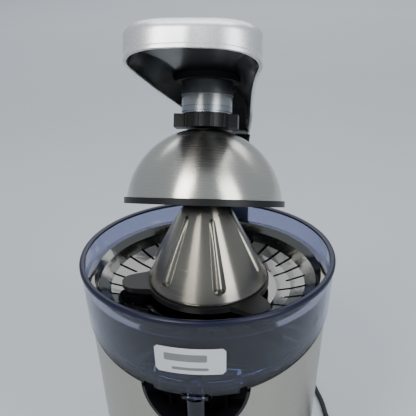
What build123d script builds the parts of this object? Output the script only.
"""Lever-arm citrus press juicer.

Millimetres. The origin is on the spindle axis, where it meets the table. +Z is up, the spout and the
niche face -Y, the column stands at +Y. The arm is modelled raised, as it is left after pressing.
"""

import os
from math import atan2, cos, degrees, pi, radians, sin, sqrt, tan

from build123d import *

os.makedirs("parts", exist_ok=True)

# ---------------------------------------------------------------- driving dimensions
RIM_Z = 230.0  # bowl rim above the table
RIM_R = 90.0  # bowl outside radius at the rim
BOWL_TAPER = 0.064
BOWL_WALL = 2.4

DRUM_BASE_Z = 14.0
DRUM_BASE_R = 76.0
DRUM_TAPER = 0.056
SHEET = 1.0  # thickness of the steel drum

# The drum meets the bowl on a curve that is low at the front and highest at the rear.
PARTING_Z = 192.8  # at the sides
PARTING_RISE = 13.25  # rear above side, before the sag
PARTING_SAG = 7.13
PARTING_R = 86.0
GASKET = 2.8
REACH = 100.0  # half-size of the cutting regions

FLOOR_Z = 186.5  # bowl floor, inside, on the spindle axis
FLOOR_SLOPE = 0.10
FLOOR_WALL = 2.4
PLUG_R = 81.0  # part of the bowl that sinks into the drum
SUMP_HALF = 28.5
SUMP_Z = 168.5
SPOUT_Y = -76.0
GAP = 0.4  # air between parts that only rest near each other

NICHE_R = 35.5
NICHE_Z = 175.0
NICHE_BACK = 60.0
NICHE_WALL = 2.2
NICHE_SLOT_HALF = 19.0

STRAINER_Z = 216.6
STRAINER_R = 85.4
STRAINER_FLAT_R = 81.0
STRAINER_FLOOR_Z = 201.5
STRAINER_T = 0.8
CHIMNEY_R = 17.0
CHIMNEY_Z = 222.0

CONE_BASE_Z = 210.6
CONE_BASE_R = 42.6
CONE_TOP_Z = 277.0
CONE_TURN = 288.6  # direction of one rib
CONE_RIBS = 6
PADDLES = 3
PADDLE_TURN = 26.0  # from a rib to a paddle
SPINDLE_R = 4.0
RUNNING = 0.06  # radial clearance of a running fit

COLUMN_HALF = 24.5
COLUMN_FRONT = 92.0
COLUMN_REAR = 128.0
HINGE_Y = 106.0
HINGE_Z = 273.55
PIN_R = 3.0
EAR_R = 10.0  # rounding of the column's ears about the hinge
SLOT_HALF = 11.5

ARM_RAISE = 23.7  # degrees that the arm stands above its closed position
ARM_WALL = 2.2
DOME_AXIS = -106.0  # along the arm, from the hinge
DOME_RIM_Z = -46.38  # dome datum plane below the hinge, along the dome's own axis
DOME_R = 52.2
DOME_CENTRE = -3.2
DOME_WALL = 1.2
SHAFT_R = 17.0

MODULE_1 = 1.5
OUTPUT_TEETH = 48
IDLER_PINION_TEETH = 12
MODULE_2 = 1.0
IDLER_TEETH = 40
MOTOR_TEETH = 12
BACKLASH = 0.3
GEAR_PLATE_Z = 112.0
POST_X = 59.0
POST_Y = 29.0
POST_R = 5.5

CORD_R = 2.3
STRAIN_LENGTH = 28.0
CORD_EXIT_Z = 20.0
COIL_X = 148.0
COIL_Y = 52.0
COIL_IN = 18.0
COIL_OUT = 32.4
PLUG_X = 118.4

# ---------------------------------------------------------------- derived places
IDLER_REACH = MODULE_1 * (OUTPUT_TEETH + IDLER_PINION_TEETH) / 2
MOTOR_REACH = MODULE_2 * (IDLER_TEETH + MOTOR_TEETH) / 2
MOTOR_ANGLE = 90 - 2 * degrees(atan2(MOTOR_REACH / 2, sqrt(IDLER_REACH**2 - (MOTOR_REACH / 2) ** 2)))
IDLER_XY = (0.0, IDLER_REACH)
MOTOR_XY = (IDLER_REACH * cos(radians(MOTOR_ANGLE)), IDLER_REACH * sin(radians(MOTOR_ANGLE)))
TILT = radians(ARM_RAISE)

# The arm's own frame: origin on the hinge, local y towards the rear, local z across the arm.
ARM = Plane(origin=(0, HINGE_Y, HINGE_Z), x_dir=(1, 0, 0), z_dir=(0, sin(TILT), cos(TILT)))
ARM_SIDE = Plane(origin=ARM.origin, x_dir=ARM.y_dir, z_dir=(1, 0, 0))
DOME_ORIGIN = ARM.origin + ARM.y_dir * DOME_AXIS + ARM.z_dir * DOME_RIM_Z
DOME_SIDE = Plane(origin=DOME_ORIGIN, x_dir=(1, 0, 0), z_dir=ARM.y_dir * -1)
DOME_TURN = Axis(DOME_ORIGIN, ARM.z_dir)


def drum_r(z):
    """Outside radius of the drum at a height."""
    return DRUM_BASE_R + (z - DRUM_BASE_Z) * DRUM_TAPER


def bowl_r(z):
    """Outside radius of the bowl at a height."""
    return RIM_R + (z - RIM_Z) * BOWL_TAPER


def parting_z(y):
    """Height of the drum's top edge at a distance behind the spindle."""
    part = y / PARTING_R
    return PARTING_Z + PARTING_RISE * part - PARTING_SAG * part**2


def floor_z(y):
    """Height of the bowl's inside floor."""
    return FLOOR_Z + FLOOR_SLOPE * y


def parting_region(lift, end_z):
    """Region of the YZ plane from the parting curve, raised by lift, to the level end_z."""
    front, side, rear = (parting_z(y) + lift for y in (-REACH, 0, REACH))
    with BuildSketch(Plane.YZ) as region:
        with BuildLine():
            ThreePointArc((-REACH, front), (0, side), (REACH, rear))
            Polyline((REACH, rear), (REACH, end_z), (-REACH, end_z), (-REACH, front))
        make_face()
    return region.sketch


def floor_region(lift, end_z):
    """Region of the YZ plane from the sloping floor, moved by lift, to the level end_z."""
    front, rear = floor_z(-REACH) + lift, floor_z(REACH) + lift
    with BuildSketch(Plane.YZ) as region:
        with BuildLine():
            Polyline((-REACH, front), (REACH, rear), (REACH, end_z), (-REACH, end_z), close=True)
        make_face()
    return region.sketch


def turned(points, plane=Plane.XZ):
    """Closed outline in an axial half-plane, for revolving."""
    with BuildSketch(plane) as outline:
        with BuildLine():
            Polyline(*points, close=True)
        make_face()
    return outline.sketch


def gear_outline(teeth, module, turn):
    """Spur gear outline with stub involute teeth; a tooth is centred at the angle turn."""
    pitch_r = module * teeth / 2
    base_r = pitch_r * cos(radians(20))
    root_r = pitch_r - 1.1 * module
    tip_r = pitch_r + 0.78 * module
    half_at_pitch = pi / (2 * teeth) - BACKLASH / (2 * pitch_r)

    def involute(r):
        ratio = max(r / base_r, 1.0)
        return sqrt(ratio**2 - 1) - atan2(sqrt(ratio**2 - 1), 1)

    low_r = max(base_r, root_r)
    flank = [low_r + (tip_r - low_r) * step / 3 for step in range(4)]
    half = [half_at_pitch + involute(pitch_r) - involute(r) for r in flank]
    deep = root_r < low_r
    radii = [root_r] + flank if deep else flank
    halves = [half[0]] + half if deep else half
    points = []
    for tooth in range(teeth):
        middle = radians(turn) + 2 * pi * tooth / teeth
        for r, a in zip(radii, halves):
            points.append((r * cos(middle - a), r * sin(middle - a)))
        for r, a in zip(reversed(radii), reversed(halves)):
            points.append((r * cos(middle + a), r * sin(middle + a)))
    with BuildSketch() as outline:
        with BuildLine():
            Polyline(*points, close=True)
        make_face()
    return outline.sketch


# ---------------------------------------------------------------- base
FOOT_RING_R = 61.0
FOOT_WIDTH = 8.0
FOOT_R = 7.0
BASE_Z = 4.0
BASE_FLOOR = 4.0
POSTS = [(-POST_X, -POST_Y), (POST_X, -POST_Y), (-POST_X, POST_Y), (POST_X, POST_Y)]

with BuildPart() as rubber_feet:
    with BuildSketch():
        Circle(FOOT_RING_R)
        Circle(FOOT_RING_R - FOOT_WIDTH, mode=Mode.SUBTRACT)
        with Locations((-14, COLUMN_REAR - 12), (14, COLUMN_REAR - 12)):
            Circle(FOOT_R)
    extrude(amount=BASE_Z)
    chamfer(rubber_feet.edges().group_by(Axis.Z)[0], 0.6)
rubber_feet.part.label = "rubber_feet"
export_step(rubber_feet.part, "parts/rubber_feet.step")

with BuildPart() as base_plate:
    with BuildSketch(Plane.XY.offset(BASE_Z)):
        Circle(DRUM_BASE_R + 1.6)
        with Locations((0, (COLUMN_REAR + 2) / 2)):
            RectangleRounded(2 * COLUMN_HALF + 4, COLUMN_REAR + 2, 10)
    extrude(amount=BASE_FLOOR)
    with BuildSketch(Plane.XY.offset(BASE_Z)):
        Circle(DRUM_BASE_R + 1.6)
        Circle(DRUM_BASE_R - 4, mode=Mode.SUBTRACT)
    extrude(amount=DRUM_BASE_Z - BASE_Z - 0.2)
    with BuildSketch(Plane.XY.offset(BASE_Z)):
        Circle(DRUM_BASE_R - SHEET - 0.4)
        Circle(DRUM_BASE_R - 4, mode=Mode.SUBTRACT)
    extrude(amount=20)
    with Locations(Plane(origin=(0, 0, BASE_Z), x_dir=(1, 0, 0), z_dir=(0, 0, -1))):
        with Locations(*[(x, -y) for x, y in POSTS]):
            CounterBoreHole(radius=2.0, counter_bore_radius=4.0, counter_bore_depth=2.6, depth=8)
base_plate.part.label = "base_plate"
export_step(base_plate.part, "parts/base_plate.step")

with BuildPart() as base_screws:
    with BuildSketch(Plane.XY.offset(BASE_Z + 0.3)):
        with Locations(*POSTS):
            Circle(3.6)
    extrude(amount=2.0)
    with BuildSketch(Plane.XY.offset(BASE_Z + 0.3)):
        with Locations(*POSTS):
            Circle(1.6)
    extrude(amount=18)
base_screws.part.label = "base_screws"
export_step(base_screws.part, "parts/base_screws.step")

# ---------------------------------------------------------------- drum, niche and deck
DRUM_TOP = 205.0

with BuildPart() as drum_shell:
    revolve(
        turned(
            [
                (DRUM_BASE_R, DRUM_BASE_Z),
                (drum_r(DRUM_TOP), DRUM_TOP),
                (drum_r(DRUM_TOP) - SHEET, DRUM_TOP),
                (DRUM_BASE_R - SHEET, DRUM_BASE_Z),
            ]
        ),
        axis=Axis.Z,
    )
    extrude(parting_region(0, 260), amount=REACH, both=True, mode=Mode.SUBTRACT)
    with BuildSketch(Plane.XZ.offset(NICHE_BACK)):
        with Locations((0, NICHE_Z)):
            Circle(NICHE_R + 0.2)
    extrude(amount=40, mode=Mode.SUBTRACT)
drum_shell.part.label = "drum_shell"
export_step(drum_shell.part, "parts/drum_shell.step")

with BuildPart() as niche_panel:
    with BuildSketch(Plane.XZ.offset(NICHE_BACK)):
        with Locations((0, NICHE_Z)):
            Circle(NICHE_R)
    extrude(amount=40)
    revolve(
        turned(
            [
                (0, 120),
                (drum_r(120) + 0.9, 120),
                (drum_r(200) + 0.9, 200),
                (0, 200),
            ]
        ),
        axis=Axis.Z,
        mode=Mode.INTERSECT,
    )
    with BuildSketch(Plane.XZ.offset(NICHE_BACK + NICHE_WALL)):
        with Locations((0, NICHE_Z)):
            Circle(NICHE_R - NICHE_WALL)
    extrude(amount=40, mode=Mode.SUBTRACT)
    with BuildSketch(Plane.XZ.offset(NICHE_BACK + 1)):
        with Locations((-NICHE_SLOT_HALF, NICHE_Z - 25), (NICHE_SLOT_HALF, NICHE_Z - 25)):
            Rectangle(1.6, 22)
    extrude(amount=6)
    extrude(parting_region(-0.2, 260), amount=REACH, both=True, mode=Mode.SUBTRACT)
    extrude(floor_region(-FLOOR_WALL - 4.5, 260), amount=REACH, both=True, mode=Mode.SUBTRACT)
niche_panel.part.label = "niche_panel"
export_step(niche_panel.part, "parts/niche_panel.step")

with BuildPart() as drum_gasket:
    revolve(
        turned([(82.2, 160), (82.2, 215), (bowl_r(200) - 0.4, 215), (PARTING_R - 0.6, 160)]),
        axis=Axis.Z,
    )
    extrude(parting_region(GASKET, 260), amount=REACH, both=True, mode=Mode.SUBTRACT)
    extrude(parting_region(0.1, 100), amount=REACH, both=True, mode=Mode.SUBTRACT)
    with BuildSketch(Plane.XZ.offset(NICHE_BACK)):
        with Locations((0, 180)):
            Rectangle(2 * NICHE_R - 4, 80)
    extrude(amount=40, mode=Mode.SUBTRACT)
drum_gasket.part.label = "drum_gasket"
export_step(drum_gasket.part, "parts/drum_gasket.step")

DECK_T = 3.0
BOSS_R = 14.0
BOSS_TOP = 217.5
DECK_LOW = floor_z(0) - FLOOR_WALL - GAP - DECK_T

with BuildPart() as deck_recess:
    with BuildSketch(Plane.XY.offset(150)):
        Circle(PLUG_R + GAP)
    extrude(amount=70)
    extrude(floor_region(-FLOOR_WALL - GAP, 100), amount=REACH, both=True, mode=Mode.SUBTRACT)

with BuildPart() as top_deck:
    revolve(
        turned(
            [
                (0, 160),
                (drum_r(160) - SHEET - 0.3, 160),
                (drum_r(DRUM_TOP) - SHEET - 0.3, DRUM_TOP),
                (0, DRUM_TOP),
            ]
        ),
        axis=Axis.Z,
    )
    extrude(parting_region(-0.3, 260), amount=REACH, both=True, mode=Mode.SUBTRACT)
    extrude(floor_region(-FLOOR_WALL - GAP - DECK_T, 100), amount=REACH, both=True, mode=Mode.SUBTRACT)
    with BuildSketch(Plane.XY.offset(BASE_Z + BASE_FLOOR + 0.3)):
        with Locations(*POSTS):
            Circle(POST_R)
    extrude(amount=180)
    add(deck_recess.part, mode=Mode.SUBTRACT)
    with BuildSketch(Plane.XY.offset(DECK_LOW + 1)):
        Circle(BOSS_R)
    extrude(amount=BOSS_TOP - DECK_LOW - 1)
    with BuildSketch(Plane.XY.offset(100)):
        Circle(8.8)
    extrude(amount=150, mode=Mode.SUBTRACT)
    with BuildSketch(Plane.XY.offset(BASE_Z)):
        with Locations(*POSTS):
            Circle(1.75)
    extrude(amount=26, mode=Mode.SUBTRACT)
    with BuildSketch(Plane.XZ.offset(NICHE_BACK - 0.4)):
        with Locations((0, 190)):
            Rectangle(2 * NICHE_R + 0.8, 90)
    extrude(amount=40, mode=Mode.SUBTRACT)
top_deck.part.label = "top_deck"
export_step(top_deck.part, "parts/top_deck.step")

# ---------------------------------------------------------------- bowl, spout and strainer
SHELF = 2.4
WALL_FOOT = GASKET + 0.3
LEDGES = 6
STUB_R = 5.9
BOSS_SPOUT_R = 10.5
NOZZLE_R = 8.0
NOZZLE_BORE = 6.3
NOZZLE_LOW = 150.5
NOZZLE_TOP = 165.4

with BuildPart() as bowl_plug:
    with BuildSketch(Plane.XY.offset(150)):
        Circle(PLUG_R)
    extrude(amount=60)
    extrude(floor_region(-FLOOR_WALL, 100), amount=REACH, both=True, mode=Mode.SUBTRACT)
    extrude(parting_region(WALL_FOOT + 2, 260), amount=REACH, both=True, mode=Mode.SUBTRACT)
    with BuildSketch(Plane.XY.offset(SUMP_Z)):
        Circle(PLUG_R)
        with Locations((0, -PLUG_R)):
            Rectangle(2 * SUMP_HALF, 2 * (PLUG_R - NICHE_BACK - 4), mode=Mode.INTERSECT)
    extrude(amount=12)

with BuildPart() as bowl_void:
    revolve(
        turned(
            [
                (0, 160),
                (bowl_r(160) - BOWL_WALL, 160),
                (bowl_r(RIM_Z + 5) - BOWL_WALL, RIM_Z + 5),
                (0, RIM_Z + 5),
            ]
        ),
        axis=Axis.Z,
    )
    extrude(parting_region(WALL_FOOT + SHELF, 100), amount=REACH, both=True, mode=Mode.SUBTRACT)

with BuildPart() as plug_void:
    with BuildSketch(Plane.XY.offset(150)):
        Circle(PLUG_R - FLOOR_WALL)
    extrude(amount=60)
    extrude(floor_region(0, 100), amount=REACH, both=True, mode=Mode.SUBTRACT)
    with BuildSketch(Plane.XY.offset(SUMP_Z + FLOOR_WALL)):
        Circle(PLUG_R - FLOOR_WALL)
        with Locations((0, -PLUG_R)):
            Rectangle(
                2 * (SUMP_HALF - FLOOR_WALL),
                2 * (PLUG_R - NICHE_BACK - 4 - FLOOR_WALL),
                mode=Mode.INTERSECT,
            )
    extrude(amount=20)

with BuildPart() as chimney:
    with BuildSketch(Plane.XY.offset(160)):
        Circle(CHIMNEY_R)
    extrude(amount=CHIMNEY_Z - 160)
    extrude(floor_region(-FLOOR_WALL, 100), amount=REACH, both=True, mode=Mode.SUBTRACT)

with BuildPart() as juice_bowl:
    revolve(
        turned(
            [
                (0, 160),
                (bowl_r(160), 160),
                (bowl_r(RIM_Z), RIM_Z),
                (0, RIM_Z),
            ]
        ),
        axis=Axis.Z,
    )
    extrude(parting_region(WALL_FOOT, 100), amount=REACH, both=True, mode=Mode.SUBTRACT)
    add(bowl_plug.part)
    add(bowl_void.part, mode=Mode.SUBTRACT)
    add(plug_void.part, mode=Mode.SUBTRACT)
    # ledges under the strainer's flange
    with BuildSketch(Plane.XY.offset(STRAINER_Z - STRAINER_T - 14)):
        with PolarLocations(STRAINER_R - 1.2, LEDGES, start_angle=30):
            Rectangle(6, 2.4)
    extrude(amount=14 - 0.2)
    # chimney round the spindle
    add(chimney.part)
    with BuildSketch(Plane.XY.offset(170)):
        Circle(BOSS_R + GAP)
    extrude(amount=60, mode=Mode.SUBTRACT)
    # outlet under the sump
    with BuildSketch(Plane.XY.offset(SUMP_Z)):
        with Locations((0, SPOUT_Y)):
            Circle(BOSS_SPOUT_R)
        Circle(PLUG_R + 1.5, mode=Mode.INTERSECT)
    extrude(amount=-2.8)
    with BuildSketch(Plane.XY.offset(SUMP_Z)):
        with Locations((0, SPOUT_Y)):
            Circle(STUB_R)
    extrude(amount=-(SUMP_Z - NOZZLE_LOW - 5))
    with BuildSketch(Plane.XY.offset(NOZZLE_LOW + 7)):
        with Locations((0, SPOUT_Y)):
            Circle(STUB_R - 1.6)
    extrude(amount=SUMP_Z + FLOOR_WALL - NOZZLE_LOW - 7, mode=Mode.SUBTRACT)
    with BuildSketch(Plane.XZ.offset(-SPOUT_Y)):
        with Locations((0, NOZZLE_LOW + 9)):
            Rectangle(4, 4)
    extrude(amount=7, both=True, mode=Mode.SUBTRACT)
juice_bowl.part.label = "juice_bowl"
export_step(juice_bowl.part, "parts/juice_bowl.step")

with BuildPart() as spout_nozzle:
    with BuildSketch(Plane.XY.offset(NOZZLE_LOW)):
        with Locations((0, SPOUT_Y)):
            Circle(NOZZLE_R)
            Circle(NOZZLE_BORE, mode=Mode.SUBTRACT)
    extrude(amount=NOZZLE_TOP - NOZZLE_LOW)
    fillet(spout_nozzle.edges().group_by(Axis.Z)[0].sort_by(SortBy.RADIUS)[-1], 0.8)
spout_nozzle.part.label = "spout_nozzle"
export_step(spout_nozzle.part, "parts/spout_nozzle.step")

LONG_SLOTS = 16  # with as many short ones between them
LONG_SLOT_TURN = 20.25  # direction of one long slot
SLOT_W = 2.3

with BuildPart() as strainer:
    outer_line = [
        (STRAINER_R, STRAINER_Z),
        (STRAINER_FLAT_R, STRAINER_Z),
        (77.6, 211.6),
        (70.0, 206.8),
        (60.0, 203.6),
        (50.0, STRAINER_FLOOR_Z),
        (CHIMNEY_R + 3.5, STRAINER_FLOOR_Z),
        (CHIMNEY_R + 3.5, STRAINER_FLOOR_Z - STRAINER_T),
        (50.0, STRAINER_FLOOR_Z - STRAINER_T),
        (60.0, 203.6 - STRAINER_T),
        (70.3, 206.8 - STRAINER_T),
        (78.1, 211.6 - STRAINER_T),
        (STRAINER_FLAT_R, STRAINER_Z - STRAINER_T),
        (STRAINER_R, STRAINER_Z - STRAINER_T),
    ]
    revolve(turned(outer_line), axis=Axis.Z)
    with BuildSketch(Plane.XY.offset(190)):
        with PolarLocations(61.0, LONG_SLOTS, start_angle=LONG_SLOT_TURN):
            SlotOverall(21, SLOT_W)
        with PolarLocations(64.3, LONG_SLOTS, start_angle=LONG_SLOT_TURN + 180 / LONG_SLOTS):
            SlotOverall(14.4, SLOT_W)
    extrude(amount=30, mode=Mode.SUBTRACT)
strainer.part.label = "strainer"
export_step(strainer.part, "parts/strainer.step")

# ---------------------------------------------------------------- squeezing cone and spindle
CONE_T = 1.0
CONE_SHOULDER_R = 17.0
CONE_SHOULDER_Z = 264.0
SPINDLE_TOP = 262.0
SPINDLE_LOW = 100.0
HUB_R = 8.5
HUB_LOW = CONE_BASE_Z + 9.5
RIB_PROUD = 2.0
RIB_FOOT = 9.0  # along the slope, from the cone's edge to the rib's round end
RIB_LENGTH = 42.0
RIB_LOW_R = 4.5
RIB_TOP_R = 2.0

with BuildPart() as cone_shell:
    with BuildSketch(Plane.XZ):
        with BuildLine():
            Line((CONE_BASE_R, CONE_BASE_Z), (CONE_BASE_R, CONE_BASE_Z + 1.5))
            Line((CONE_BASE_R, CONE_BASE_Z + 1.5), (CONE_SHOULDER_R, CONE_SHOULDER_Z))
            ThreePointArc((CONE_SHOULDER_R, CONE_SHOULDER_Z), (9.9, 273.0), (1.6, CONE_TOP_Z))
            Polyline((1.6, CONE_TOP_Z), (0, CONE_TOP_Z), (0, CONE_BASE_Z), (CONE_BASE_R, CONE_BASE_Z))
        make_face()
    revolve(axis=Axis.Z)
    slope = atan2(CONE_BASE_R - CONE_SHOULDER_R, CONE_SHOULDER_Z - CONE_BASE_Z - 1.5)
    for rib in range(CONE_RIBS):
        heading = radians(CONE_TURN + 360 / CONE_RIBS * rib)
        foot_r = CONE_BASE_R - RIB_FOOT * sin(slope)
        out = Vector(cos(heading) * cos(slope), sin(heading) * cos(slope), sin(slope))
        rise = Vector(-cos(heading) * sin(slope), -sin(heading) * sin(slope), cos(slope))
        foot = Vector(foot_r * cos(heading), foot_r * sin(heading), CONE_BASE_Z + 1.5 + RIB_FOOT * cos(slope))
        with BuildSketch(Plane(origin=foot - out * 3, x_dir=rise, z_dir=out)):
            Circle(RIB_LOW_R)
            with Locations((RIB_LENGTH, 0)):
                Circle(RIB_TOP_R)
            make_hull()
        extrude(amount=3 + RIB_PROUD)
    revolve(
        turned(
            [
                (0, CONE_BASE_Z - 1),
                (CONE_BASE_R - CONE_T, CONE_BASE_Z - 1),
                (CONE_BASE_R - CONE_T, CONE_BASE_Z + 1.5),
                (CONE_SHOULDER_R - CONE_T, CONE_SHOULDER_Z - 0.5),
                (8, CONE_TOP_Z - 4),
                (0, CONE_TOP_Z - 2.5),
            ]
        ),
        axis=Axis.Z,
        mode=Mode.SUBTRACT,
    )
cone_shell.part.label = "cone_shell"
export_step(cone_shell.part, "parts/cone_shell.step")

with BuildPart() as cone_hub:
    revolve(
        turned(
            [
                (SPINDLE_R + 0.03, HUB_LOW),
                (HUB_R, HUB_LOW),
                (HUB_R, CONE_SHOULDER_Z - 22),
                (CONE_SHOULDER_R - 5, CONE_SHOULDER_Z - 6),
                (CONE_BASE_R - CONE_T - 3.4, CONE_BASE_Z + 3),
                (CONE_BASE_R - CONE_T - 1.3, CONE_BASE_Z + 3),
                (CONE_SHOULDER_R - CONE_T - 0.8, CONE_SHOULDER_Z - 0.5),
                (8, CONE_TOP_Z - 6.5),
                (0, CONE_TOP_Z - 5.5),
                (0, SPINDLE_TOP + 0.3),
                (SPINDLE_R + 0.03, SPINDLE_TOP + 0.3),
            ]
        ),
        axis=Axis.Z,
    )
cone_hub.part.label = "cone_hub"
export_step(cone_hub.part, "parts/cone_hub.step")

PADDLE_OUT = 62.0

with BuildPart() as paddles:
    for paddle in range(PADDLES):
        heading = CONE_TURN + PADDLE_TURN + 360 / PADDLES * paddle
        with BuildSketch(Plane.XY.offset(CONE_BASE_Z - 8).rotated((0, 0, heading))):
            with BuildLine():
                Spline(
                    (CONE_BASE_R - 3, -15),
                    (CONE_BASE_R + 9, -11.5),
                    (PADDLE_OUT - 3, -8),
                    (PADDLE_OUT, 0),
                    (PADDLE_OUT - 3, 7),
                    (CONE_BASE_R + 7, 10.5),
                    (CONE_BASE_R - 3, 13),
                )
                Line((CONE_BASE_R - 3, 13), (CONE_BASE_R - 3, -15))
            make_face()
        extrude(amount=10)
    revolve(
        turned(
            [
                (30, CONE_BASE_Z - 4.6),
                (CONE_BASE_R + 3, CONE_BASE_Z - 4.6),
                (PADDLE_OUT + 2, CONE_BASE_Z - 2.6),
                (PADDLE_OUT + 2, CONE_BASE_Z + 0.4),
                (CONE_BASE_R + 3, CONE_BASE_Z - 0.3),
                (30, CONE_BASE_Z - 0.3),
            ]
        ),
        axis=Axis.Z,
        mode=Mode.INTERSECT,
    )

with BuildPart() as cone_base:
    revolve(
        turned(
            [
                (CHIMNEY_R + 6, CONE_BASE_Z - 4.6),
                (CONE_BASE_R + 1.6, CONE_BASE_Z - 4.6),
                (CONE_BASE_R + 1.6, CONE_BASE_Z - 0.6),
                (CONE_BASE_R + 0.8, CONE_BASE_Z - 0.2),
                (CHIMNEY_R + 6, CONE_BASE_Z - 0.2),
            ]
        ),
        axis=Axis.Z,
    )
    revolve(
        turned(
            [
                (CONE_BASE_R - 5, CONE_BASE_Z - 0.4),
                (CONE_BASE_R - CONE_T - 0.6, CONE_BASE_Z - 0.4),
                (CONE_BASE_R - CONE_T - 0.6, CONE_BASE_Z + 1.3),
                (CONE_BASE_R - CONE_T - 1.6, CONE_BASE_Z + 2.8),
                (CONE_BASE_R - 5, CONE_BASE_Z + 2.8),
            ]
        ),
        axis=Axis.Z,
    )
    add(paddles.part)
cone_base.part.label = "cone_base"
export_step(cone_base.part, "parts/cone_base.step")

# spindle with a hexagon for the output gear; it slides down through the gear when the cone is pressed
HEX_R = 3.95
HEX_LOW = 114.0
HEX_TOP = 143.0

with BuildPart() as spindle:
    with BuildSketch(Plane.XY.offset(SPINDLE_LOW)):
        Circle(SPINDLE_R)
    extrude(amount=HEX_LOW - SPINDLE_LOW)
    with BuildSketch(Plane.XY.offset(HEX_LOW)):
        RegularPolygon(HEX_R, 6)
    extrude(amount=HEX_TOP - HEX_LOW)
    with BuildSketch(Plane.XY.offset(HEX_TOP)):
        Circle(SPINDLE_R)
    extrude(amount=SPINDLE_TOP - HEX_TOP)
    chamfer(spindle.edges().group_by(Axis.Z)[-1], 0.8)
spindle.part.label = "spindle"
export_step(spindle.part, "parts/spindle.step")

with BuildPart() as spindle_bushes:
    for low, high in ((BOSS_TOP - 12, BOSS_TOP - 4), (DECK_LOW + 2, DECK_LOW + 10)):
        with BuildSketch(Plane.XY.offset(low)):
            Circle(8.7)
            Circle(SPINDLE_R + RUNNING, mode=Mode.SUBTRACT)
        extrude(amount=high - low)
spindle_bushes.part.label = "spindle_bushes"
export_step(spindle_bushes.part, "parts/spindle_bushes.step")

with BuildPart() as shaft_seal:
    revolve(
        turned(
            [
                (SPINDLE_R + 0.35, BOSS_TOP - 3.6),
                (8.6, BOSS_TOP - 3.6),
                (8.6, BOSS_TOP - 0.4),
                (7.2, BOSS_TOP - 0.4),
                (6.6, BOSS_TOP - 2.4),
                (5.2, BOSS_TOP - 2.4),
                (SPINDLE_R + 0.35, BOSS_TOP - 1.2),
            ]
        ),
        axis=Axis.Z,
    )
shaft_seal.part.label = "shaft_seal"
export_step(shaft_seal.part, "parts/shaft_seal.step")

# ---------------------------------------------------------------- gearbox
PLATE_T = 3.0
IDLER_AXLE_R = 2.5
GEAR_1_LOW = 124.0
GEAR_1_HIGH = 131.0
GEAR_2_LOW = 117.0
GEAR_2_HIGH = 122.5
COVER_TOP = 139.0
COVER_T = 2.0

with BuildPart() as gear_plate:
    with BuildSketch(Plane.XY.offset(GEAR_PLATE_Z)):
        Circle(72)
        with Locations(*POSTS):
            Circle(POST_R + 0.2, mode=Mode.SUBTRACT)
        Circle(7.4, mode=Mode.SUBTRACT)
        with Locations(MOTOR_XY):
            Circle(6.0, mode=Mode.SUBTRACT)
        with Locations(IDLER_XY):
            Circle(IDLER_AXLE_R, mode=Mode.SUBTRACT)
    extrude(amount=PLATE_T)
gear_plate.part.label = "gear_plate"
export_step(gear_plate.part, "parts/gear_plate.step")

with BuildPart() as gear_cover:
    with BuildSketch(Plane.XY.offset(GEAR_PLATE_Z + PLATE_T)):
        Circle(41)
        with Locations(IDLER_XY):
            Circle(24.5)
        with Locations(MOTOR_XY):
            Circle(13)
    extrude(amount=COVER_TOP - GEAR_PLATE_Z - PLATE_T)
    with BuildSketch(Plane.XY.offset(GEAR_PLATE_Z + PLATE_T)):
        Circle(41 - COVER_T)
        with Locations(IDLER_XY):
            Circle(24.5 - COVER_T)
        with Locations(MOTOR_XY):
            Circle(13 - COVER_T)
    extrude(amount=COVER_TOP - GEAR_PLATE_Z - PLATE_T - COVER_T, mode=Mode.SUBTRACT)
    with BuildSketch(Plane.XY.offset(COVER_TOP - COVER_T)):
        Circle(9.4)
        with Locations(IDLER_XY):
            Circle(IDLER_AXLE_R)
    extrude(amount=COVER_T, mode=Mode.SUBTRACT)
gear_cover.part.label = "gear_cover"
export_step(gear_cover.part, "parts/gear_cover.step")

with BuildPart() as output_gear:
    add(Pos(0, 0, GEAR_1_LOW) * gear_outline(OUTPUT_TEETH, MODULE_1, 90))
    extrude(amount=GEAR_1_HIGH - GEAR_1_LOW)
    with BuildSketch(Plane.XY.offset(GEAR_PLATE_Z + 4)):
        Circle(9.0)
    extrude(amount=COVER_TOP - 0.6 - GEAR_PLATE_Z - 4)
    with BuildSketch(Plane.XY.offset(GEAR_PLATE_Z)):
        RegularPolygon(HEX_R + 0.5, 6)
    extrude(amount=40, mode=Mode.SUBTRACT)
    with BuildSketch(Plane.XY.offset(GEAR_1_LOW - 1)):
        with PolarLocations(21, 6, start_angle=15):
            Circle(6.5)
    extrude(amount=20, mode=Mode.SUBTRACT)
output_gear.part.label = "output_gear"
export_step(output_gear.part, "parts/output_gear.step")

IDLER_TO_MOTOR = degrees(atan2(MOTOR_XY[1] - IDLER_XY[1], MOTOR_XY[0] - IDLER_XY[0]))
IDLER_PINION_TURN = -90 + 180 / IDLER_PINION_TEETH  # a space of the pinion faces the output gear's tooth

with BuildPart() as idler_gear:
    add(Pos(*IDLER_XY, GEAR_2_HIGH) * gear_outline(IDLER_PINION_TEETH, MODULE_1, IDLER_PINION_TURN))
    extrude(amount=GEAR_1_HIGH + 1 - GEAR_2_HIGH)
    add(Pos(*IDLER_XY, GEAR_2_LOW) * gear_outline(IDLER_TEETH, MODULE_2, IDLER_TO_MOTOR))
    extrude(amount=GEAR_2_HIGH - GEAR_2_LOW)
    with BuildSketch(Plane.XY.offset(GEAR_2_LOW)):
        with Locations(IDLER_XY):
            Circle(IDLER_AXLE_R + RUNNING)
    extrude(amount=20, mode=Mode.SUBTRACT)
idler_gear.part.label = "idler_gear"
export_step(idler_gear.part, "parts/idler_gear.step")

with BuildPart() as idler_axle:
    with BuildSketch(Plane.XY.offset(GEAR_PLATE_Z + 0.3)):
        with Locations(IDLER_XY):
            Circle(IDLER_AXLE_R - 0.02)
    extrude(amount=COVER_TOP - GEAR_PLATE_Z - 0.6)
idler_axle.part.label = "idler_axle"
export_step(idler_axle.part, "parts/idler_axle.step")

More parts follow.
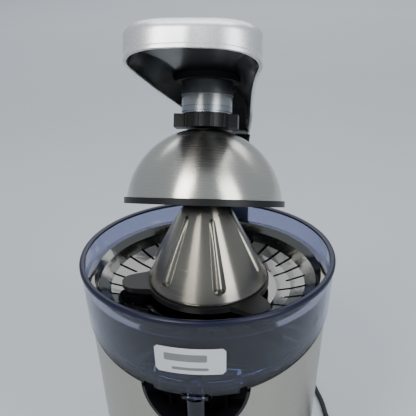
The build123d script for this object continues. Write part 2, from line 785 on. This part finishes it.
# ---------------------------------------------------------------- motor
CAN_R = 29.0
CAN_LOW = 34.0
CAN_T = 1.2
SHAFT_LOW = 36.5
MOTOR_SHAFT_R = 2.5
MOTOR_BUSH_R = 5.6

with BuildPart() as motor_can:
    with BuildSketch(Plane.XY.offset(CAN_LOW)):
        with Locations(MOTOR_XY):
            Circle(CAN_R)
    extrude(amount=GEAR_PLATE_Z - CAN_LOW - 0.1)
    with BuildSketch(Plane.XY.offset(CAN_LOW + CAN_T)):
        with Locations(MOTOR_XY):
            Circle(CAN_R - CAN_T)
    extrude(amount=GEAR_PLATE_Z - CAN_LOW, mode=Mode.SUBTRACT)
    with BuildSketch(Plane.XY.offset(CAN_LOW)):
        with Locations(MOTOR_XY):
            Circle(7.5)
            Circle(MOTOR_BUSH_R + 0.05, mode=Mode.SUBTRACT)
    extrude(amount=8)
motor_can.part.label = "motor_can"
export_step(motor_can.part, "parts/motor_can.step")

with BuildPart() as motor_bushes:
    for low, high in ((CAN_LOW + 2, CAN_LOW + 8), (GEAR_PLATE_Z - 4, GEAR_PLATE_Z + 3)):
        with BuildSketch(Plane.XY.offset(low)):
            with Locations(MOTOR_XY):
                Circle(MOTOR_BUSH_R)
                Circle(MOTOR_SHAFT_R + RUNNING, mode=Mode.SUBTRACT)
        extrude(amount=high - low)
motor_bushes.part.label = "motor_bushes"
export_step(motor_bushes.part, "parts/motor_bushes.step")

with BuildPart() as stator:
    with BuildSketch(Plane.XY.offset(52)):
        with Locations(MOTOR_XY):
            Circle(CAN_R - CAN_T - 0.1)
            Circle(20.4, mode=Mode.SUBTRACT)
    extrude(amount=38)
stator.part.label = "stator"
export_step(stator.part, "parts/stator.step")

with BuildPart() as stator_windings:
    for low in (45.0, 90.4):
        with BuildSketch(Plane.XY.offset(low)):
            with Locations(MOTOR_XY):
                Circle(26)
                Circle(20.6, mode=Mode.SUBTRACT)
        extrude(amount=6.6)
stator_windings.part.label = "stator_windings"
export_step(stator_windings.part, "parts/stator_windings.step")

with BuildPart() as rotor:
    with BuildSketch(Plane.XY.offset(SHAFT_LOW)):
        with Locations(MOTOR_XY):
            Circle(MOTOR_SHAFT_R)
    extrude(amount=GEAR_2_HIGH + 0.5 - SHAFT_LOW)
    with BuildSketch(Plane.XY.offset(53)):
        with Locations(MOTOR_XY):
            Circle(19.7)
    extrude(amount=36)
rotor.part.label = "rotor"
export_step(rotor.part, "parts/rotor.step")

with BuildPart() as motor_fan:
    with BuildSketch(Plane.XY.offset(98.6)):
        with Locations(MOTOR_XY):
            Circle(5)
    extrude(amount=7)
    with BuildSketch(Plane.XY.offset(98.6)):
        with Locations(MOTOR_XY):
            with PolarLocations(12, 9):
                Rectangle(15, 1.4, rotation=25)
            Circle(20)
            Circle(18.6, mode=Mode.SUBTRACT)
    extrude(amount=1.2)
    with BuildSketch(Plane.XY.offset(98.6)):
        with Locations(MOTOR_XY):
            with PolarLocations(12, 9):
                Rectangle(15, 1.4, rotation=25)
    extrude(amount=6.5)
    with BuildSketch(Plane.XY.offset(98)):
        with Locations(MOTOR_XY):
            Circle(MOTOR_SHAFT_R)
    extrude(amount=10, mode=Mode.SUBTRACT)
motor_fan.part.label = "motor_fan"
export_step(motor_fan.part, "parts/motor_fan.step")

MOTOR_PINION_TURN = IDLER_TO_MOTOR + 180 + 180 / MOTOR_TEETH

with BuildPart() as motor_pinion:
    add(Pos(*MOTOR_XY, GEAR_2_LOW) * gear_outline(MOTOR_TEETH, MODULE_2, MOTOR_PINION_TURN))
    extrude(amount=GEAR_2_HIGH - GEAR_2_LOW)
    with BuildSketch(Plane.XY.offset(GEAR_2_LOW)):
        with Locations(MOTOR_XY):
            Circle(MOTOR_SHAFT_R)
    extrude(amount=20, mode=Mode.SUBTRACT)
motor_pinion.part.label = "motor_pinion"
export_step(motor_pinion.part, "parts/motor_pinion.step")

# ---------------------------------------------------------------- press-to-start switch
CUP_R = 7.0
CUP_LOW = 97.6
STEM_R = 2.4
STEM_LOW = 88.4
BRACKET_LOW = 82.0
BRACKET_T = 2.0
SPRING_R = 5.2
WIRE_R = 0.5
SWITCH_TOP = 81.8

with BuildPart() as thrust_cup:
    revolve(
        turned(
            [
                (0, STEM_LOW),
                (STEM_R, STEM_LOW),
                (STEM_R, CUP_LOW),
                (CUP_R, CUP_LOW),
                (CUP_R, 108),
                (SPINDLE_R + RUNNING, 108),
                (SPINDLE_R + RUNNING, SPINDLE_LOW - 0.1),
                (0, SPINDLE_LOW - 0.1),
            ]
        ),
        axis=Axis.Z,
    )
thrust_cup.part.label = "thrust_cup"
export_step(thrust_cup.part, "parts/thrust_cup.step")

with BuildPart() as return_spring:
    with BuildLine() as spring_line:
        Helix(pitch=2.7, height=12.0, radius=SPRING_R, center=(0, 0, BRACKET_LOW + BRACKET_T + 0.7))
    with BuildSketch(Plane(origin=spring_line.line @ 0, z_dir=spring_line.line % 0)):
        Circle(WIRE_R)
    sweep(is_frenet=True)
return_spring.part.label = "return_spring"
export_step(return_spring.part, "parts/return_spring.step")

with BuildPart() as switch_bracket:
    with BuildSketch(Plane.XY.offset(BRACKET_LOW)):
        Rectangle(36, 12)
        Circle(2.9, mode=Mode.SUBTRACT)
    extrude(amount=BRACKET_T)
    with BuildSketch(Plane.XY.offset(BRACKET_LOW)):
        with Locations((-17, 0), (17, 0)):
            Rectangle(2, 12)
    extrude(amount=GEAR_PLATE_Z - BRACKET_LOW - 0.1)
switch_bracket.part.label = "switch_bracket"
export_step(switch_bracket.part, "parts/switch_bracket.step")

with BuildPart() as micro_switch:
    with BuildSketch(Plane.XY.offset(SWITCH_TOP - 16)):
        Rectangle(20, 6.4)
    extrude(amount=16)
    with BuildSketch(Plane.XY.offset(SWITCH_TOP - 9)):
        Circle(1.9)
    extrude(amount=9, mode=Mode.SUBTRACT)
    with BuildSketch(Plane.XY.offset(SWITCH_TOP - 21)):
        with Locations((-7, 0), (0, 0), (7, 0)):
            Rectangle(0.8, 4)
    extrude(amount=5.2)
micro_switch.part.label = "micro_switch"
export_step(micro_switch.part, "parts/micro_switch.step")

with BuildPart() as switch_plunger:
    with BuildSketch(Plane.XY.offset(SWITCH_TOP - 5)):
        Circle(1.6)
    extrude(amount=STEM_LOW - 0.3 - SWITCH_TOP + 5)
    fillet(switch_plunger.edges().group_by(Axis.Z)[-1], 0.6)
switch_plunger.part.label = "switch_plunger"
export_step(switch_plunger.part, "parts/switch_plunger.step")

# ---------------------------------------------------------------- column and hinge
COLUMN_LOW = BASE_Z + BASE_FLOOR + 0.2
COLUMN_T = 2.4
EAR_TOP = HINGE_Z + EAR_R - 3.2
EAR_CORNER = (HINGE_Y + sqrt(EAR_R**2 - (EAR_TOP - HINGE_Z) ** 2), EAR_TOP)
CORE_TOP = 250.0
LID_T = 2.6

with BuildPart() as drum_clearance:
    revolve(
        turned(
            [
                (0, 0),
                (DRUM_BASE_R + 1.9, 0),
                (DRUM_BASE_R + 1.9, DRUM_BASE_Z),
                (drum_r(DRUM_BASE_Z) + 0.3, DRUM_BASE_Z),
                (drum_r(DRUM_TOP) + 0.3, DRUM_TOP),
                (bowl_r(RIM_Z) + 0.8, RIM_Z + 4),
                (0, RIM_Z + 4),
            ]
        ),
        axis=Axis.Z,
    )

with BuildPart() as column_shell:
    with BuildSketch(Plane.XY.offset(COLUMN_LOW)):
        with Locations((0, (60 + COLUMN_REAR) / 2)):
            RectangleRounded(2 * COLUMN_HALF, COLUMN_REAR - 60, 9)
    extrude(amount=EAR_TOP - COLUMN_LOW)
    with BuildSketch(Plane.YZ):
        with BuildLine():
            Polyline(
                (COLUMN_REAR, COLUMN_LOW),
                (COLUMN_REAR, HINGE_Z - 22),
                (HINGE_Y + EAR_R, HINGE_Z - 8),
                (HINGE_Y + EAR_R, HINGE_Z),
            )
            RadiusArc((HINGE_Y + EAR_R, HINGE_Z), EAR_CORNER, -EAR_R)
            Polyline(
                EAR_CORNER,
                (COLUMN_FRONT, EAR_TOP),
                (COLUMN_FRONT, 206),
                (COLUMN_FRONT - 6, 197),
                (70, 192),
                (70, COLUMN_LOW),
                (COLUMN_REAR, COLUMN_LOW),
            )
        make_face()
    extrude(amount=40, both=True, mode=Mode.INTERSECT)
    add(drum_clearance.part, mode=Mode.SUBTRACT)
    # hollow for the core and the leads
    with BuildSketch(Plane.XY.offset(COLUMN_LOW)):
        with Locations((0, (COLUMN_FRONT + 2 * COLUMN_T + COLUMN_REAR - COLUMN_T) / 2 - COLUMN_T / 2)):
            RectangleRounded(2 * (COLUMN_HALF - COLUMN_T), COLUMN_REAR - COLUMN_FRONT - 2 * COLUMN_T, 6)
    extrude(amount=CORE_TOP - COLUMN_LOW, mode=Mode.SUBTRACT)
    # slot for the arm's tongue
    with BuildSketch(Plane.XY.offset(CORE_TOP + 4)):
        with Locations((0, 110)):
            Rectangle(2 * SLOT_HALF + 3, 60)
    extrude(amount=60, mode=Mode.SUBTRACT)
    with BuildSketch(Plane.YZ):
        with Locations((HINGE_Y, HINGE_Z)):
            Circle(PIN_R)
    extrude(amount=COLUMN_HALF - 2, both=True, mode=Mode.SUBTRACT)
    # outlet for the cord
    with BuildSketch(Plane.XZ.offset(-COLUMN_REAR - 1)):
        with Locations((0, CORD_EXIT_Z)):
            Circle(5.2)
    extrude(amount=6, mode=Mode.SUBTRACT)
column_shell.part.label = "column_shell"
export_step(column_shell.part, "parts/column_shell.step")

CORE_T = 3.0
CORE_WIDE = 2 * (COLUMN_HALF - COLUMN_T) - 1
CORE_DEEP = COLUMN_REAR - COLUMN_FRONT - 2 * COLUMN_T - 1

with BuildPart() as column_core:
    with BuildSketch(Plane.XY.offset(COLUMN_LOW)):
        with Locations((0, (COLUMN_FRONT + COLUMN_REAR) / 2)):
            RectangleRounded(CORE_WIDE, CORE_DEEP, 5.5)
            RectangleRounded(CORE_WIDE - 2 * CORE_T, CORE_DEEP - 2 * CORE_T, 3, mode=Mode.SUBTRACT)
    extrude(amount=CORE_TOP - COLUMN_LOW - 0.5)
    with BuildSketch(Plane.XZ.offset(-COLUMN_REAR - 1)):
        with Locations((0, CORD_EXIT_Z)):
            Rectangle(16, 22)
    extrude(amount=12, mode=Mode.SUBTRACT)
column_core.part.label = "column_core"
export_step(column_core.part, "parts/column_core.step")

with BuildPart() as column_lid:
    # two side cheeks joined by the slot's floor, with a thin lid over each ear
    with BuildSketch(Plane.XY.offset(CORE_TOP + 4.2)):
        with Locations((0, (COLUMN_FRONT + HINGE_Y + EAR_R) / 2)):
            Rectangle(2 * SLOT_HALF + 2.6, HINGE_Y + EAR_R - COLUMN_FRONT - 0.6)
    extrude(amount=EAR_TOP - CORE_TOP - 3.9)
    with BuildSketch(Plane.XY.offset(EAR_TOP + 0.1)):
        with Locations((0, (COLUMN_FRONT + HINGE_Y + 6) / 2)):
            RectangleRounded(2 * COLUMN_HALF, HINGE_Y + 6 - COLUMN_FRONT, 2.5)
    extrude(amount=LID_T)
    with BuildSketch(Plane.YZ):
        with BuildLine():
            Polyline((60, 230), (60, HINGE_Z), (60, HINGE_Z + EAR_R), (HINGE_Y, HINGE_Z + EAR_R))
            RadiusArc((HINGE_Y, HINGE_Z + EAR_R), (HINGE_Y + EAR_R, HINGE_Z), EAR_R)
            Polyline((HINGE_Y + EAR_R, HINGE_Z), (HINGE_Y + EAR_R, 230), (60, 230))
        make_face()
    extrude(amount=40, both=True, mode=Mode.INTERSECT)
    with BuildSketch(Plane.XY.offset(CORE_TOP + 6.5)):
        with Locations((0, 110)):
            Rectangle(2 * SLOT_HALF, 60)
    extrude(amount=60, mode=Mode.SUBTRACT)
    with BuildSketch(Plane.YZ):
        with Locations((HINGE_Y, HINGE_Z)):
            Circle(PIN_R + 0.2)
    extrude(amount=COLUMN_HALF + 2, both=True, mode=Mode.SUBTRACT)
column_lid.part.label = "column_lid"
export_step(column_lid.part, "parts/column_lid.step")

with BuildPart() as hinge_pin:
    with BuildSketch(Plane.YZ):
        with Locations((HINGE_Y, HINGE_Z)):
            Circle(PIN_R - 0.02)
    extrude(amount=COLUMN_HALF - 2.3, both=True)
hinge_pin.part.label = "hinge_pin"
export_step(hinge_pin.part, "parts/hinge_pin.step")

# ---------------------------------------------------------------- arm
TONGUE_HALF = 10.6
KNUCKLE_R = 8.4
BUSH_R = 5.0
LINER_Z = 38.2
LINER_T = 2.5
ARM_TOP_FRONT = 48.0
SIDE_POINTS = [
    (24.5, 8),
    (25.4, -15),
    (27.9, -37),
    (30.8, -88),
    (33.6, -133),
    (36.4, -163),
    (39.0, -181),
    (37.4, -192),
    (31.0, -201),
    (19.0, -207),
    (0, -209),
]


def moved_in(points, inset):
    """Points moved square to the line through them, towards the middle of the arm."""
    moved = []
    for i, (x, y) in enumerate(points):
        x0, y0 = points[max(i - 1, 0)]
        x1, y1 = points[min(i + 1, len(points) - 1)]
        run = sqrt((x1 - x0) ** 2 + (y1 - y0) ** 2)
        moved.append((x + (y1 - y0) / run * inset, y - (x1 - x0) / run * inset))
    moved[-1] = (0, points[-1][1] + inset)
    return moved


def arm_plan(inset):
    """Outline of the arm seen along its own z, made smaller by inset."""
    points = moved_in(SIDE_POINTS, inset)
    rear = SIDE_POINTS[0][1] - inset
    points[0] = (points[0][0], rear)
    with BuildSketch() as plan:
        with BuildLine():
            Spline(*points, tangents=[(0.03, -1), (-1, 0)])
            Spline(*[(-x, y) for x, y in points], tangents=[(-0.03, -1), (1, 0)])
            Line(points[0], (-points[0][0], rear))
        make_face()
    return plan.sketch


def arm_under(lift):
    """Lower edge of the arm in side view: level, with a chin over the column and a lifted nose."""
    return [
        (12, 10.7 + lift),
        (-17, 10.7 + lift),
        (-40, 25 + lift),
        (-132, 25 + lift),
        (-165, 26.5 + lift),
        (-187, 29.5 + lift),
        (-214, 34.0 + lift),
    ]


def arm_side(lift, lower, rear):
    """Side view of the arm between its lower edge, raised by lift, and its top, dropped by lower."""
    with BuildSketch() as side:
        with BuildLine():
            under = arm_under(lift)
            Polyline((rear, under[0][1]), *under[1:])
            Line(under[-1], (-214, ARM_TOP_FRONT - lower))
            Spline(
                (-214, ARM_TOP_FRONT - lower),
                (-150, 53.0 - lower),
                (-80, 52.5 - lower),
                (-20, 42 - lower),
                (rear, 28 - lower),
            )
            Line((rear, 28 - lower), (rear, under[0][1]))
        make_face()
    return side.sketch


with BuildPart() as arm_void:
    extrude(ARM * arm_plan(ARM_WALL), amount=80, both=True)
    with BuildSketch(ARM_SIDE):
        add(arm_side(-30, ARM_WALL, 8 - ARM_WALL))
    extrude(amount=60, both=True, mode=Mode.INTERSECT)

with BuildPart() as arm_shell:
    extrude(ARM * arm_plan(0), amount=80, both=True)
    with BuildSketch(ARM_SIDE):
        add(arm_side(0, 0, 8))
    extrude(amount=60, both=True, mode=Mode.INTERSECT)
    add(arm_void.part, mode=Mode.SUBTRACT)
arm_shell.part.label = "arm_shell"
export_step(arm_shell.part, "parts/arm_shell.step")

with BuildPart() as liner_void:
    extrude(ARM * arm_plan(ARM_WALL + 0.3 + 2), amount=LINER_Z)

with BuildPart() as arm_liner:
    extrude(ARM * arm_plan(ARM_WALL + 0.3), amount=LINER_Z + LINER_T)
    with BuildSketch(ARM_SIDE):
        with BuildLine():
            under = arm_under(0.8)[2:]
            Polyline(*under, (-214, 80), (-44, 80), under[0])
        make_face()
    extrude(amount=60, both=True, mode=Mode.INTERSECT)
    add(liner_void.part, mode=Mode.SUBTRACT)
    with BuildSketch(ARM.offset(LINER_Z - 1)):
        with Locations((0, DOME_AXIS)):
            Circle(4.6)
    extrude(amount=8, mode=Mode.SUBTRACT)
arm_liner.part.label = "arm_liner"
export_step(arm_liner.part, "parts/arm_liner.step")

with BuildPart() as neck_cover:
    # black cover over the chin: a sloping front and a level underside
    with BuildSketch(ARM_SIDE):
        with BuildLine():
            Polyline((-39.4, 26), (-17, 11.6), (4.6, 11.6), (4.6, 14.1), (-16.2, 14.1))
            Polyline((-16.2, 14.1), (-37, 27.6), (-41, 37.8), (-43.6, 37.8), (-39.4, 26))
        make_face()
    extrude(amount=COLUMN_HALF - ARM_WALL - 0.5, both=True)
    with BuildSketch(ARM):
        with Locations((0, -17)):
            Rectangle(2 * TONGUE_HALF + 1.2, 56)
    extrude(amount=30, mode=Mode.SUBTRACT)
neck_cover.part.label = "neck_cover"
export_step(neck_cover.part, "parts/neck_cover.step")

with BuildPart() as arm_frame:
    with BuildSketch(ARM_SIDE):
        Circle(KNUCKLE_R)
    extrude(amount=TONGUE_HALF, both=True)
    with BuildSketch(ARM_SIDE):
        with BuildLine():
            Polyline((-7, -3), (-15.5, 16), (-29, 28.5), (-38, 38), (-40.2, 41.2), (-126, 41.2), (-126, 45))
            Polyline((-126, 45), (-56, 45), (-42, 43.3), (-30, 41), (-20, 38.5), (3, 22), (7, 3), (-7, -3))
        make_face()
    extrude(amount=TONGUE_HALF, both=True)
    with BuildSketch(ARM_SIDE):
        Circle(BUSH_R)
    extrude(amount=TONGUE_HALF + 1, both=True, mode=Mode.SUBTRACT)
    with BuildSketch(ARM.offset(40)):
        with Locations((0, DOME_AXIS)):
            Circle(4.1)
    extrude(amount=8, mode=Mode.SUBTRACT)
arm_frame.part.label = "arm_frame"
export_step(arm_frame.part, "parts/arm_frame.step")

with BuildPart() as hinge_bushes:
    for side in (-1, 1):
        with BuildSketch(ARM_SIDE.offset(side * (TONGUE_HALF / 2 + 0.5))):
            Circle(BUSH_R - 0.02)
            Circle(PIN_R + RUNNING - 0.02, mode=Mode.SUBTRACT)
        extrude(amount=TONGUE_HALF / 2 - 1, both=True)
hinge_bushes.part.label = "hinge_bushes"
export_step(hinge_bushes.part, "parts/hinge_bushes.step")

# ---------------------------------------------------------------- press head
FLANGE_R = 21.0
FLANGE_LOW = 79.8
FLANGE_HIGH = 84.4
COLLAR_R = 16.0
COLLAR_LOW = 48.9
COLLAR_HIGH = 58.0
BAND_HIGH = 62.6
RIM_LOW = -2.7
RIM_HIGH = 1.4
DOME_RIM_R = 53.9
LUG_R = 21.4

with BuildPart() as press_flange:
    revolve(
        turned(
            [(4.2, FLANGE_LOW), (FLANGE_R, FLANGE_LOW), (FLANGE_R, FLANGE_HIGH), (4.2, FLANGE_HIGH)],
            DOME_SIDE,
        ),
        axis=DOME_TURN,
    )
press_flange.part.label = "press_flange"
export_step(press_flange.part, "parts/press_flange.step")

with BuildPart() as press_shaft:
    revolve(
        turned(
            [
                (4.2, BAND_HIGH + 0.2),
                (SHAFT_R, BAND_HIGH + 0.2),
                (SHAFT_R, FLANGE_LOW - 0.1),
                (4.2, FLANGE_LOW - 0.1),
            ],
            DOME_SIDE,
        ),
        axis=DOME_TURN,
    )
press_shaft.part.label = "press_shaft"
export_step(press_shaft.part, "parts/press_shaft.step")

with BuildPart() as shaft_bolt:
    revolve(
        turned(
            [
                (0, COLLAR_LOW + 3),
                (9.0, COLLAR_LOW + 3),
                (9.0, COLLAR_HIGH - 2.4),
                (4.0, COLLAR_HIGH - 2.4),
                (4.0, FLANGE_HIGH + 7),
                (0, FLANGE_HIGH + 7),
            ],
            DOME_SIDE,
        ),
        axis=DOME_TURN,
    )
shaft_bolt.part.label = "shaft_bolt"
export_step(shaft_bolt.part, "parts/shaft_bolt.step")

with BuildPart() as shaft_band:
    revolve(
        turned(
            [
                (4.2, COLLAR_HIGH + 0.3),
                (SHAFT_R - 0.8, COLLAR_HIGH + 0.3),
                (SHAFT_R - 0.8, COLLAR_HIGH + 1.2),
                (SHAFT_R, COLLAR_HIGH + 1.4),
                (SHAFT_R, BAND_HIGH),
                (4.2, BAND_HIGH),
            ],
            DOME_SIDE,
        ),
        axis=DOME_TURN,
    )
shaft_band.part.label = "shaft_band"
export_step(shaft_band.part, "parts/shaft_band.step")

COLLAR_PLANE = Plane(origin=DOME_ORIGIN + ARM.z_dir * COLLAR_LOW, x_dir=(1, 0, 0), z_dir=ARM.z_dir)

with BuildPart() as lock_collar:
    with BuildSketch(COLLAR_PLANE):
        Circle(COLLAR_R)
        with PolarLocations(LUG_R - 3.5, 2):
            Rectangle(7, 14)
    extrude(amount=COLLAR_HIGH - COLLAR_LOW)
    with BuildSketch(COLLAR_PLANE):
        with PolarLocations(COLLAR_R, 10, start_angle=36):
            RectangleRounded(1.6, 3.0, 0.5)
    extrude(amount=COLLAR_HIGH - COLLAR_LOW - 1)
    with BuildSketch(COLLAR_PLANE.offset(2.6)):
        Circle(9.4)
    extrude(amount=COLLAR_HIGH - COLLAR_LOW - 4.6, mode=Mode.SUBTRACT)
    with BuildSketch(COLLAR_PLANE):
        Circle(4.4)
    extrude(amount=20, mode=Mode.SUBTRACT)
lock_collar.part.label = "lock_collar"
export_step(lock_collar.part, "parts/lock_collar.step")

with BuildPart() as dome_shell:
    with BuildSketch(DOME_SIDE):
        with Locations((0, DOME_CENTRE)):
            Circle(DOME_R)
            Circle(DOME_R - DOME_WALL, mode=Mode.SUBTRACT)
        with Locations((DOME_R / 2 + 0.1, DOME_R / 2 + RIM_HIGH + 0.1)):
            Rectangle(DOME_R, DOME_R, mode=Mode.INTERSECT)
    revolve(axis=DOME_TURN)
    with BuildSketch(COLLAR_PLANE.offset(-6)):
        Circle(5)
    extrude(amount=12, mode=Mode.SUBTRACT)
dome_shell.part.label = "dome_shell"
export_step(dome_shell.part, "parts/dome_shell.step")

with BuildPart() as dome_rim:
    revolve(
        turned(
            [
                (DOME_R - 3.4, RIM_LOW),
                (DOME_RIM_R, RIM_LOW),
                (DOME_RIM_R, RIM_HIGH),
                (DOME_R - 3.0, RIM_HIGH),
            ],
            DOME_SIDE,
        ),
        axis=DOME_TURN,
    )
dome_rim.part.label = "dome_rim"
export_step(dome_rim.part, "parts/dome_rim.step")

with BuildPart() as dome_liner:
    with BuildSketch(DOME_SIDE):
        with Locations((0, DOME_CENTRE)):
            Circle(DOME_R - DOME_WALL - 0.2)
            Circle(DOME_R - DOME_WALL - 1.4, mode=Mode.SUBTRACT)
        with Locations((DOME_R / 2 + 0.1, DOME_R / 2 + RIM_HIGH + 0.2)):
            Rectangle(DOME_R, DOME_R, mode=Mode.INTERSECT)
    revolve(axis=DOME_TURN)
dome_liner.part.label = "dome_liner"
export_step(dome_liner.part, "parts/dome_liner.step")

# ---------------------------------------------------------------- cord
LEAD_Z = CORD_R + 0.1
EXIT_Y = COLUMN_REAR + STRAIN_LENGTH
ROUTE = [
    (0, EXIT_Y + 0.05, CORD_EXIT_Z),
    (0, EXIT_Y + 18, CORD_EXIT_Z),
    (5, EXIT_Y + 37, 10.5),
    (19, EXIT_Y + 52, LEAD_Z),
    (41, EXIT_Y + 57, LEAD_Z),
    (63, EXIT_Y + 47, LEAD_Z),
    (78, EXIT_Y + 28, LEAD_Z),
    (86, 158, LEAD_Z),
    (92.5, 134, LEAD_Z),
    (98.5, 115, LEAD_Z),
    (101, 97, LEAD_Z),
    (104.5, 84, LEAD_Z),
    (112, 70, LEAD_Z),
    (118.0, 54, LEAD_Z),
]

with BuildPart() as strain_relief:
    with BuildSketch(Plane.XZ.offset(-COLUMN_REAR + 3.5)):
        with Locations((0, CORD_EXIT_Z)):
            Circle(7.0)
    extrude(amount=-1.1)
    with BuildSketch(Plane.XZ.offset(-COLUMN_REAR + 2.4)):
        with Locations((0, CORD_EXIT_Z)):
            Circle(5.0)
    extrude(amount=-2.4)
    with BuildSketch(Plane.XZ.offset(-COLUMN_REAR)):
        with Locations((0, CORD_EXIT_Z)):
            Circle(5.0)
    with BuildSketch(Plane.XZ.offset(-EXIT_Y)):
        with Locations((0, CORD_EXIT_Z)):
            Circle(CORD_R + 0.8)
    loft()
strain_relief.part.label = "strain_relief"
export_step(strain_relief.part, "parts/strain_relief.step")

corners = []
for before, here, after in zip(ROUTE, ROUTE[1:], ROUTE[2:]):
    run_in = Vector(*here) - Vector(*before)
    run_out = Vector(*after) - Vector(*here)
    turn = radians(run_in.get_angle(run_out))
    corners.append(0.45 * min(run_in.length, run_out.length) / tan(turn / 2))
print("cord radii", [round(r, 1) for r in corners])

with BuildPart() as power_cord:
    with BuildLine() as cord_line:
        FilletPolyline(*ROUTE, radius=corners)
    with BuildSketch(Plane(origin=cord_line.line @ 0, z_dir=cord_line.line % 0)):
        Circle(CORD_R)
    sweep()
cord_run = cord_line.wires()[0].length
print("cord length", round(cord_run, 1), "volume ratio")
print(round(power_cord.part.volume / (pi * CORD_R**2 * cord_run), 4))
power_cord.part.label = "power_cord"
export_step(power_cord.part, "parts/power_cord.step")

with BuildPart() as cord_coil:
    with BuildSketch(Plane.XY.offset(0.1)):
        with Locations((COIL_X, COIL_Y)):
            Circle(COIL_OUT)
            Circle(COIL_IN, mode=Mode.SUBTRACT)
    extrude(amount=4 * CORD_R)
    fillet(cord_coil.edges().filter_by(GeomType.CIRCLE), 1.6)
cord_coil.part.label = "cord_coil"
export_step(cord_coil.part, "parts/cord_coil.step")

PLUG_Z = 7.2
PLUG_FACE = -20.0
PLUG_REAR = 16.0

with BuildPart() as plug:
    with BuildSketch(Plane.XZ.offset(-PLUG_REAR)):
        with Locations((PLUG_X, PLUG_Z)):
            RectangleRounded(14, 11, 4)
    with BuildSketch(Plane.XZ.offset(-PLUG_REAR + 20)):
        with Locations((PLUG_X, PLUG_Z)):
            RectangleRounded(30, 13.6, 5)
    with BuildSketch(Plane.XZ.offset(-PLUG_FACE)):
        with Locations((PLUG_X, PLUG_Z)):
            RectangleRounded(35, 13.6, 6)
    loft()
    with BuildSketch(Plane.XZ.offset(-PLUG_REAR)):
        with Locations((PLUG_X, PLUG_Z)):
            Circle(4.4)
    with BuildSketch(Plane.XZ.offset(-PLUG_REAR - 26)):
        with Locations((PLUG_X, PLUG_Z)):
            Circle(CORD_R + 0.6)
    loft()
plug.part.label = "plug"
export_step(plug.part, "parts/plug.step")

with BuildPart() as plug_pins:
    with BuildSketch(Plane.XZ.offset(-PLUG_FACE + 0.1)):
        with Locations((PLUG_X - 9.3, PLUG_Z), (PLUG_X + 9.3, PLUG_Z)):
            Circle(2.0)
    extrude(amount=19)
    fillet(plug_pins.edges().group_by(Axis.Y)[0], 1.5)
plug_pins.part.label = "plug_pins"
export_step(plug_pins.part, "parts/plug_pins.step")
